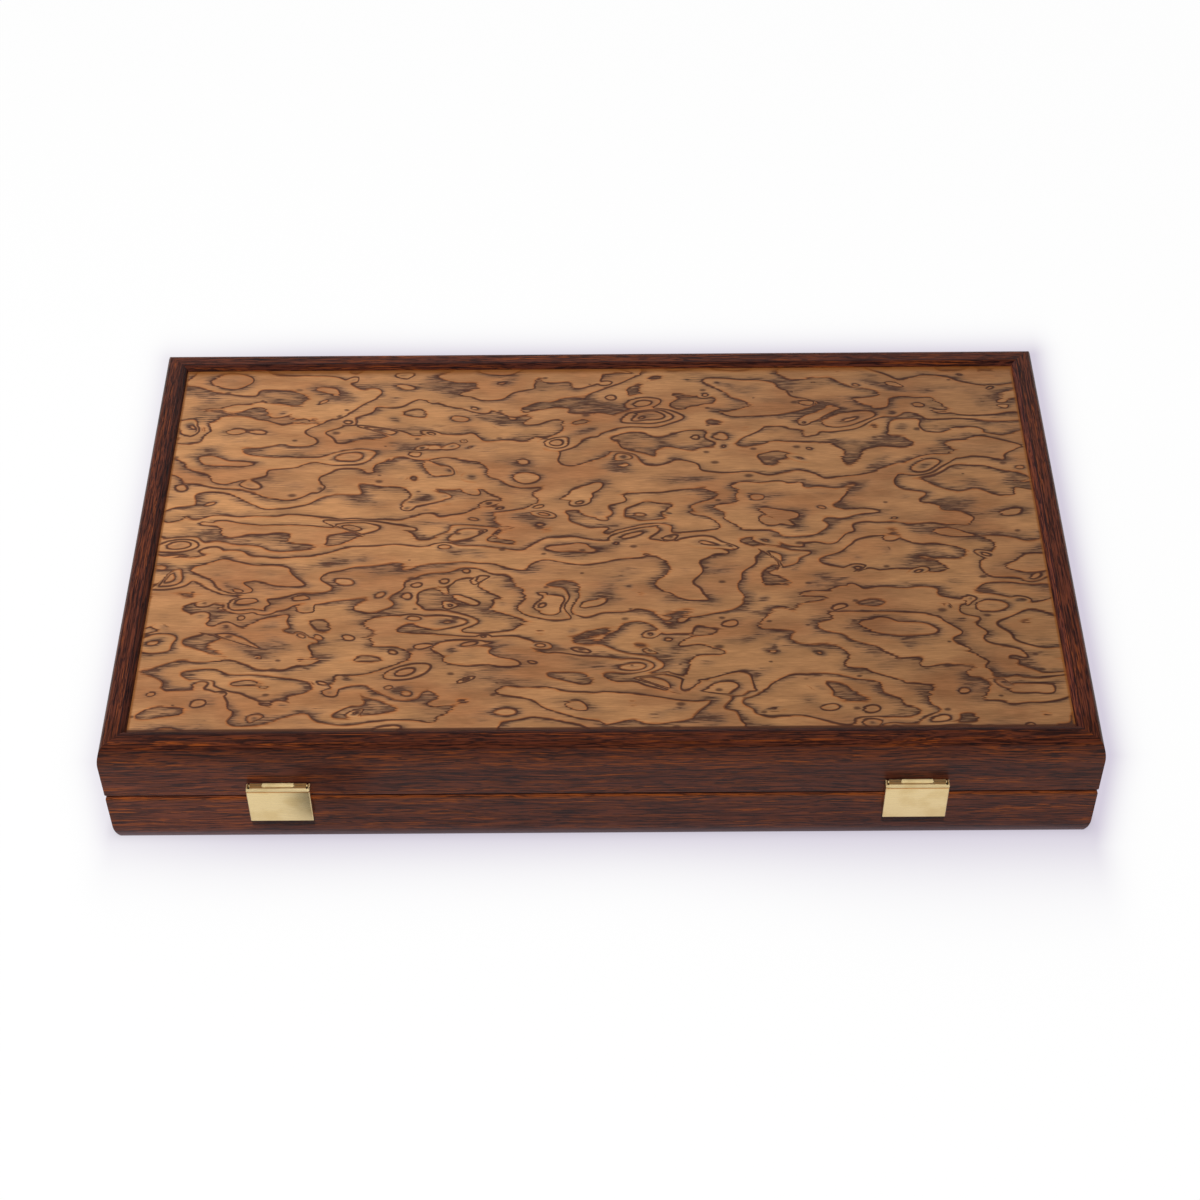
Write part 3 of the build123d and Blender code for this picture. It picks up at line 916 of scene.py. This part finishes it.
@dataclass(frozen=True)
class StudioFloor:
    """White paper floor: it takes the object's shadow, but the eye and polished faces see it white.

    A painted shadow dims it softly around the closed case. The painted shadow is full in a rectangle, fades
    beyond each of its sides over a distance of its own, longer at the front's right by the spill, and is cut
    slantwise at the front corners. A painted contact shadow darkens it right at the foot of the sides and the
    back. A painted dark patch lies before the left latch and is seen by polished faces alone, which shows as
    a painted dark reflection in the latch.
    """

    name: str = "studio_floor"
    paper: Colour = (0.16, 0.16, 0.16)
    seen_share: float = 0.05
    # Colour of the painted shadow around the case.
    painted_shadow_colour: Colour = (0.635, 0.585, 0.7)
    left: float = -257.2
    right: float = 258.5
    front: float = -135.4
    back: float = 214.0
    fade_beside: float = 8.0
    fade_before: float = 20.5
    fade_behind: float = 13.0
    fade_power: float = 1.4
    spill: Fade = Fade(0.0, 180.0, 1.0, 1.4)
    strength: Fade = Fade(-290.0, -150.0, 0.4, 0.95)
    corner: float = -92.0
    corner_depth: float = 57.0
    corner_slant: float = 0.3
    foot: tuple[float, float] = (238.0, 140.0)
    foot_fade: Fade = Fade(9.0, 0.0, 0.0, 0.5)
    foot_front: Fade = Fade(-145.0, -125.0)
    # A painted dark patch, seen in reflections alone: a painted dark reflection in the left latch.
    dark_reflection_patch: tuple[float, float] = (-136.0, -186.0)
    dark_reflection_fade: Fade = Fade(26.0, 13.0, 0.0, 1.0)

    def build(self) -> bpy.types.Material:
        """Builds the floor's material, which is seen and lit through from below.

        Returns:
            The material.
        """
        material, graph = new_material(self.name)
        by_camera = graph.add("ShaderNodeLightPath", output="Is Camera Ray")
        by_gloss = by_camera.other("Is Glossy Ray")
        seen = by_camera.larger(by_gloss).larger(by_camera.other("Is Transmission Ray"))
        x, y, _ = graph.place().parts()
        white = (1.0 - self.seen_share,) * 3
        # Painted shadow around the case.
        colour = self.nearness(x, y).mix(white, tuple(white[0] * channel for channel in self.painted_shadow_colour))
        # A painted dark patch, seen only by polished faces: a painted dark reflection.
        dark_reflection_patch = graph.join(x - self.dark_reflection_patch[0], y - self.dark_reflection_patch[1]).length().fade(self.dark_reflection_fade) * by_gloss
        # Painted contact shadow at the foot of the sides and the back, with the dark patch.
        colour = self.at_foot(x, y).larger(dark_reflection_patch).mix(colour, (0.0, 0.0, 0.0))
        glow = graph.add("ShaderNodeEmission", {"Color": colour, "Strength": seen})
        paper = graph.add("ShaderNodeBsdfDiffuse", {"Color": seen.mix(self.paper, (self.seen_share,) * 3)})
        both = graph.add("ShaderNodeAddShader", {0: paper, 1: glow})
        clear = graph.add("ShaderNodeBsdfTransparent")
        underside = graph.add("ShaderNodeNewGeometry", output="Backfacing")
        passed = underside.larger(by_camera.other("Is Shadow Ray"))
        pick = graph.add("ShaderNodeMixShader", {0: passed, 1: both, 2: clear})
        graph.node("ShaderNodeOutputMaterial", {"Surface": pick})
        return material

    def nearness(self, x: Value, y: Value) -> Value:
        """The soft painted shadow around the case.

        Args:
            x: The place on X.
            y: The place on Y.

        Returns:
            How dark the painted shadow is there, 0 to 1.
        """

        def beyond(value: Value, edge: float, distance: float) -> Value:
            """How far a place lies beyond an edge, counted in fading distances."""
            return ((value - edge) / distance).larger(0.0)

        cut = (self.corner - y).larger(0.0).smaller(self.corner_depth) * self.corner_slant
        beside = beyond(x + cut, self.right, self.fade_beside)
        beside = beside.larger(beyond(x - cut, self.left, -self.fade_beside))
        before = beyond(y, self.front, -self.fade_before) / x.fade(self.spill)
        ahead = beyond(y, self.back, self.fade_behind).larger(before)
        away = x.graph.join(beside, ahead).length()
        away = away.math("POWER", away, self.fade_power)
        return away.math("POWER", math.e, away * -1.0) * x.fade(self.strength)

    def at_foot(self, x: Value, y: Value) -> Value:
        """The painted contact shadow right at the foot of the sides and the back, read as nearness is."""
        beside, behind = (abs(x) - self.foot[0]).larger(0.0), (y - self.foot[1]).larger(0.0)
        return x.graph.join(beside, behind).length().fade(self.foot_fade) * y.fade(self.foot_front)


# Pieces


def dress(nodes: dict[str, bpy.types.Object], name: str, finish: bpy.types.Material) -> None:
    """Gives a piece of the case its finish.

    Args:
        nodes: The pieces of the frame by name.
        name: The piece.
        finish: Its finish, put in each of its material slots.
    """
    piece = nodes[name]
    if not piece.material_slots:
        piece.data.materials.append(finish)
    for slot in piece.material_slots:
        slot.material = finish
    LOG.info("%s: %s", name, finish.name)


@dataclass
class CaseHalf:
    """One tray of the case: four mitred rails round a veneered panel, with the playing side inside."""

    half: Half
    nodes: dict[str, bpy.types.Object]
    finishes: dict[str, bpy.types.Material]
    parts: dict[str, str] = field(default_factory=lambda: {
        "front_rail": "rail_along_x",
        "back_rail": "rail_along_x",
        "left_rail": "rail_along_y",
        "right_rail": "rail_along_y",
        "core_panel": "core",
        "field_veneer": "field",
        "rack_floor": "rack",
        "points_light": "light_points",
        "points_dark": "dark_points",
        "rack_divider": "rail_along_x",
    })

    def dress(self) -> None:
        """Gives every wooden piece of this half its finish."""
        for part, finish in self.parts.items():
            dress(self.nodes, f"{self.half.value}_{part}", self.finishes[finish])
        dress(self.nodes, f"{self.half.value}_outer_veneer", self.finishes[f"{self.half.value}_burl"])


@dataclass
class Hinge:
    """A brass butt hinge at the back: a leaf on each half and the pin."""

    side: Side
    nodes: dict[str, bpy.types.Object]
    brass: bpy.types.Material

    def dress(self) -> None:
        """Gives both leaves and the pin their finish."""
        for half in Half:
            dress(self.nodes, f"{half.value}_hinge_leaf_{self.side.value}", self.brass)
        dress(self.nodes, f"hinge_pin_{self.side.value}", self.brass)


@dataclass
class Latch:
    """A flap latch at the front: the plate with its fixed knuckle, the pin, the flap and the keeper."""

    side: Side
    nodes: dict[str, bpy.types.Object]
    brass: bpy.types.Material
    flap_brass: bpy.types.Material

    def dress(self) -> None:
        """Gives the four brass pieces their finish."""
        for part in ("latch_plate", "latch_pin", "keeper"):
            dress(self.nodes, f"{part}_{self.side.value}", self.brass)
        dress(self.nodes, f"latch_flap_{self.side.value}", self.flap_brass)


@dataclass(frozen=True)
class Screw:
    """A brass wood screw with a crossed recess; the head is its outline, radius and height from the top down.

    The recess reaches that far from the middle, and its width is half that of an arm.
    """

    head: tuple[tuple[float, float], ...]
    shank_radius: float
    shank_end: float
    recess_reach: float
    recess_width: float
    recess_depth: float
    recess_taper: float = 0.7
    sides: int = 32
    merge: float = 1e-4
    cut_slack: float = 1e-5
    digits: int = 4

    def build(self) -> bmesh.types.BMesh:
        """Builds the screw with its seat at the origin, its head looking along +Z.

        Returns:
            The screw's mesh.
        """
        mesh = bmesh.new()
        outline = [*self.head, (self.shank_radius, self.shank_end + self.shank_radius), (0.0, self.shank_end)]
        verts = [mesh.verts.new((radius, 0.0, height)) for radius, height in outline]
        edges = [mesh.edges.new(pair) for pair in zip(verts, verts[1:])]
        bmesh.ops.spin(mesh, geom=verts + edges, cent=(0, 0, 0), axis=(0, 0, 1), angle=math.tau,
                       steps=self.sides, use_merge=True, use_duplicate=False)
        bmesh.ops.remove_doubles(mesh, verts=mesh.verts, dist=self.merge)
        self.sink_recess(mesh)
        bmesh.ops.recalc_face_normals(mesh, faces=mesh.faces)
        self.put_in_order(mesh)
        return mesh

    def sink_recess(self, mesh: bmesh.types.BMesh) -> None:
        """Sinks the crossed recess into the head.

        Args:
            mesh: The screw's mesh.
        """
        floor = self.head[1][1] - self.merge
        for axis in (Vector((1, 0, 0)), Vector((0, 1, 0))):
            for reach in (-self.recess_reach, -self.recess_width, self.recess_width, self.recess_reach):
                top = [face for face in mesh.faces if min(v.co.z for v in face.verts) > floor]
                edges = dict.fromkeys(edge for face in top for edge in face.edges)
                corners = dict.fromkeys(vert for face in top for vert in face.verts)
                bmesh.ops.bisect_plane(mesh, geom=[*top, *edges, *corners], dist=self.cut_slack,
                                       plane_co=axis * reach, plane_no=axis)

        def in_cross(face: bmesh.types.BMFace) -> bool:
            """True for a face of the crown that lies within the cross."""
            centre = face.calc_center_median()
            near, far = sorted((abs(centre.x), abs(centre.y)))
            high = min(v.co.z for v in face.verts) > floor
            return high and near < self.recess_width and far < self.recess_reach

        cross = [face for face in mesh.faces if in_cross(face)]
        made = bmesh.ops.extrude_face_region(mesh, geom=cross)
        bmesh.ops.delete(mesh, geom=[face for face in cross if face.is_valid], context="FACES")
        sunk = [part for part in made["geom"] if isinstance(part, bmesh.types.BMVert)]
        bmesh.ops.translate(mesh, verts=sunk, vec=(0, 0, -self.recess_depth))
        bmesh.ops.scale(mesh, verts=sunk, vec=(self.recess_taper, self.recess_taper, 1.0))

    def put_in_order(self, mesh: bmesh.types.BMesh) -> None:
        """Sorts the corners and the faces by place, since the cuts leave them in another order each run.

        Args:
            mesh: The screw's mesh.
        """
        places = {vert: vert.co for vert in mesh.verts}
        places.update((face, face.calc_center_median()) for face in mesh.faces)
        for parts in (mesh.verts, mesh.faces):
            ordered = sorted(parts, key=lambda part: [round(value, self.digits) for value in places[part]])
            ranks = {part: rank for rank, part in enumerate(ordered)}
            parts.sort(key=ranks.get)


COUNTERSUNK = Screw(
    head=((0.0, -0.05), (1.7, -0.05), (2.3, -0.06), (2.34, -0.1), (1.1, -1.19)),
    shank_radius=1.0, shank_end=-11.9, recess_reach=1.45, recess_width=0.28, recess_depth=0.75,
)
ROUND_HEAD = Screw(
    head=((0.0, 0.68), (0.8, 0.66), (1.12, 0.52), (1.36, 0.3), (1.46, 0.02), (0.7, 0.0)),
    shank_radius=0.68, shank_end=-7.9, recess_reach=0.72, recess_width=0.16, recess_depth=0.42, sides=24,
)


@dataclass
class ScrewSet:
    """The screws of one kind in one half, in place of the plain ones of a node."""

    name: str
    node: str
    half: Half
    screw: Screw
    spots: Sequence[Place]
    facing: Place
    finish: bpy.types.Material
    turns: tuple[float, ...] = (12.0, -38.0, 27.0, 4.0)

    def build(self) -> None:
        """Builds the set as one piece that rides with its half."""
        one = self.screw.build()
        data = bpy.data.meshes.new(self.name)
        whole = bmesh.new()
        aim = Vector((0, 0, 1)).rotation_difference(Vector(self.facing)).to_matrix().to_4x4()
        for spot, turn in zip(self.spots, self.turns):
            copy = one.copy()
            turned = aim @ Matrix.Rotation(math.radians(turn), 4, "Z")
            pose = Matrix.Scale(MM, 4) @ Matrix.Translation(spot) @ turned
            bmesh.ops.transform(copy, matrix=pose, verts=copy.verts)
            copy.to_mesh(data)
            copy.free()
            whole.from_mesh(data)
        one.free()
        whole.to_mesh(data)
        whole.free()
        data.materials.append(self.finish)
        piece = bpy.data.objects.new(self.name, data)
        bpy.context.scene.collection.objects.link(piece)
        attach(piece, self.half.value)
        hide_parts(self.node)
        LOG.info("%s: %d screws for %s", self.name, len(self.spots), self.node)


@dataclass
class Screws:
    """Where the case is screwed: two screws in each hinge leaf, latch plate and keeper."""

    finish: bpy.types.Material
    hinge_pitch: float = 22.0
    hinge_line: float = 134.5
    leaf_levels: tuple[float, float] = (34.9, 35.1)
    latch_offset: float = 9.2
    latch_face: float = -142.6
    keeper_level: float = 28.1
    plate_level: float = 39.9

    def places(self, node: str, offset: float) -> list[float]:
        """Where on X the screws of the left and right hardware sit.

        Args:
            node: The name that the left and right node share.
            offset: How far the screws sit from the middle of their node.

        Returns:
            The places of the four screws in millimetres.
        """
        boxes = [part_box(f"{node}_{side.value}") for side in Side]
        middles = [(low[0] + high[0]) / 2 / MM for low, high in boxes]
        return [middle + lean * offset for middle in middles for lean in (-1, 1)]

    def build(self) -> None:
        """Builds the four sets."""
        hinges = self.places("base_hinge_leaf", self.hinge_pitch / 2)
        latches = self.places("latch_plate", self.latch_offset)
        for half, level, facing in zip(Half, self.leaf_levels, ((0, 0, 1), (0, 0, -1))):
            ScrewSet(f"{half.value}_hinge_crossed_screws", f"{half.value}_hinge_screws", half, COUNTERSUNK,
                     [(x, self.hinge_line, level) for x in hinges], facing, self.finish).build()
        rows = (("keeper", Half.BASE, self.keeper_level), ("latch_plate", Half.LID, self.plate_level))
        for name, half, level in rows:
            ScrewSet(f"{name}_crossed_screws", f"{name}_screws", half, ROUND_HEAD,
                     [(x, self.latch_face, level) for x in latches], (0, -1, 0), self.finish).build()


# Studio


@dataclass(frozen=True)
class Lamp:
    """A flat lamp aimed at a point, in metres and watts; one that isn't mirrored has no reflection."""

    name: str
    place: Place
    aim: Place
    size: tuple[float, float]
    power: float
    mirrored: bool = True

    def build(self) -> None:
        """Hangs the lamp."""
        data = bpy.data.lights.new(self.name, "AREA")
        data.shape = "RECTANGLE"
        data.size, data.size_y = self.size
        data.energy = self.power
        lamp = bpy.data.objects.new(self.name, data)
        lamp.location = self.place
        lamp.rotation_euler = (Vector(self.aim) - Vector(self.place)).to_track_quat("-Z", "Y").to_euler()
        lamp.visible_glossy = self.mirrored
        lamp.visible_camera = False
        bpy.context.scene.collection.objects.link(lamp)


@dataclass
class Studio:
    """The white floor, the even light of the room and the lamps.

    Four lamps stand at the left, over the front, before and behind the case. The one under the floor lights
    the underside for views from below, since the floor lets light through from there.
    """

    floor_size: float = 9.0
    floor_drop: float = 0.1 * MM
    room_light: float = 0.04
    lamps: tuple[Lamp, ...] = (
        Lamp("side_softbox", place=(-0.68, 0.1, 0.62), aim=(0.0, 0.0, 0.05), size=(0.45, 0.6), power=1.5),
        Lamp("front_spot", place=(0.0, -1.12, 2.08), aim=(0.0, 0.0, 0.03), size=(0.08, 0.08), power=47.0,
             mirrored=False),
        Lamp("front_strip", place=(0.0, -1.55, 1.3), aim=(0.0, 0.0, 0.03), size=(2.4, 0.3), power=1.6),
        Lamp("back_softbox", place=(0.0, 1.9, 0.85), aim=(0.0, 0.0, 0.05), size=(3.2, 1.5), power=12.0),
        Lamp("under_table", place=(0.0, 0.0, -1.0), aim=(0.0, 0.0, 0.0), size=(0.9, 0.24), power=5.0,
             mirrored=False),
    )

    def build(self) -> None:
        """Sets up the floor, the lamps and the room."""
        mesh = bmesh.new()
        bmesh.ops.create_grid(mesh, x_segments=1, y_segments=1, size=self.floor_size / 2)
        bmesh.ops.translate(mesh, verts=mesh.verts, vec=(0.0, 0.0, -self.floor_drop))
        data = bpy.data.meshes.new("studio_floor")
        mesh.to_mesh(data)
        mesh.free()
        data.materials.append(StudioFloor().build())
        floor = bpy.data.objects.new("studio_floor", data)
        bpy.context.scene.collection.objects.link(floor)
        for lamp in self.lamps:
            lamp.build()
        world = bpy.data.worlds.new("studio_room")
        world.use_nodes = True
        world.node_tree.nodes.clear()
        graph = Graph(world.node_tree)
        by_camera = graph.add("ShaderNodeLightPath", output="Is Camera Ray")
        seen = by_camera.larger(by_camera.other("Is Transmission Ray"))
        strength = self.room_light + seen * (1.0 - self.room_light)
        sky = graph.add("ShaderNodeBackground", {"Color": (1.0, 1.0, 1.0), "Strength": strength})
        graph.node("ShaderNodeOutputWorld", {"Surface": sky})
        bpy.context.scene.world = world
        LOG.info("studio: %d lamps", len(self.lamps))


@dataclass(frozen=True)
class PhotoCamera:
    """The camera at the photograph's place and angle; angles in radians, lens and sensor in millimetres."""

    place: Place = (2.7246 * MM, -843.6545 * MM, 936.0186 * MM)
    pitch: float = 0.8268093
    yaw: float = 0.0035856
    roll: float = -0.0091909
    lens: float = 70.66
    sensor: float = 36.0
    clip: tuple[float, float] = (0.05, 50.0)

    def build(self) -> None:
        """Sets the camera up and makes it the scene's own."""
        ahead = Vector((0.0, math.cos(self.pitch), -math.sin(self.pitch)))
        upward = Vector((0.0, math.sin(self.pitch), math.cos(self.pitch)))
        turn = Matrix.Rotation(self.yaw, 3, "Z")
        across, ahead, upward = turn @ Vector((1.0, 0.0, 0.0)), turn @ ahead, turn @ upward
        tilted = across * math.cos(self.roll) + upward * math.sin(self.roll)
        raised = upward * math.cos(self.roll) - across * math.sin(self.roll)
        axes = Matrix((tilted, raised, -ahead)).transposed().to_4x4()
        data = bpy.data.cameras.new("photo_camera")
        data.lens = self.lens
        data.sensor_width = self.sensor
        data.clip_start, data.clip_end = self.clip
        camera = bpy.data.objects.new("photo_camera", data)
        camera.matrix_world = Matrix.Translation(self.place) @ axes
        bpy.context.scene.collection.objects.link(camera)
        bpy.context.scene.camera = camera


def finishes() -> dict[str, bpy.types.Material]:
    """Builds every finish of the case.

    Returns:
        The materials by the word that the pieces use.
    """
    rows = {
        "rail_along_x": RailWood("rail_wood_x", Grain.ALONG_X, half_case=142.0),
        "rail_along_y": RailWood("rail_wood_y", Grain.ALONG_Y, half_case=240.0, russet=srgb(138, 71, 36),
                                 moulding=(0.52, 0.5, 0.54), moulding_right_light_and_shade=(1.1, 1.05, 1.25)),
        "lid_burl": BurlVeneer("lid_burl", origin=(312.0, 148.0)),
        "base_burl": BurlVeneer("base_burl", origin=(911.0, 533.0)),
        "field": PlainVeneer("field_walnut", srgb(134, 96, 66), srgb(104, 70, 47), srgb(62, 40, 28)),
        "rack": PlainVeneer("rack_walnut", srgb(128, 90, 62), srgb(98, 66, 45), srgb(60, 38, 27),
                            grain=Grain.ALONG_X),
        "core": PlainVeneer("core_ply", srgb(206, 172, 128), srgb(178, 142, 100), srgb(128, 96, 66),
                            grain=Grain.ALONG_X, width=1.4),
        "light_points": PlainVeneer("maple_inlay", srgb(222, 190, 142), srgb(200, 164, 116),
                                    srgb(158, 122, 82), pore_share=0.3),
        "dark_points": PlainVeneer("dark_inlay", srgb(66, 38, 28), srgb(42, 24, 19), srgb(22, 13, 11)),
        # Brighter and mostly matte: a painted highlight on the fixed knuckle.
        "latch_brass": SatinBrass("latch_brass", colour=srgb(246, 222, 166), matte=0.75, soft_edge=0.3),
        "flap_brass": SatinBrass("flap_brass", satin=0.3, patina_and_shade=0.33, bend=0.85),
        "hinge_brass": SatinBrass("hinge_brass", colour=srgb(214, 184, 122), tone=srgb(186, 150, 92),
                                  roughness=0.32, soft_edge=0.3),
        "screw_brass": SatinBrass("screw_brass", colour=srgb(208, 178, 118), tone=srgb(176, 140, 86),
                                  roughness=0.3, brushed=0.105, soft_edge=0.1),
    }
    return {word: finish.build() for word, finish in rows.items()}


def main() -> None:
    """Loads the frame, dresses and completes the case and sets the studio."""
    logging.basicConfig(level=logging.INFO, format="%(name)s: %(message)s")
    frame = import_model()
    nodes = frame["nodes"]
    made = finishes()
    for half in Half:
        CaseHalf(half, nodes, made).dress()
    for side in Side:
        Hinge(side, nodes, made["hinge_brass"]).dress()
        Latch(side, nodes, made["latch_brass"], made["flap_brass"]).dress()
    Screws(made["screw_brass"]).build()
    Studio().build()
    PhotoCamera().build()
    bpy.context.scene.view_settings.view_transform = "Standard"


if __name__ == "__main__":
    main()
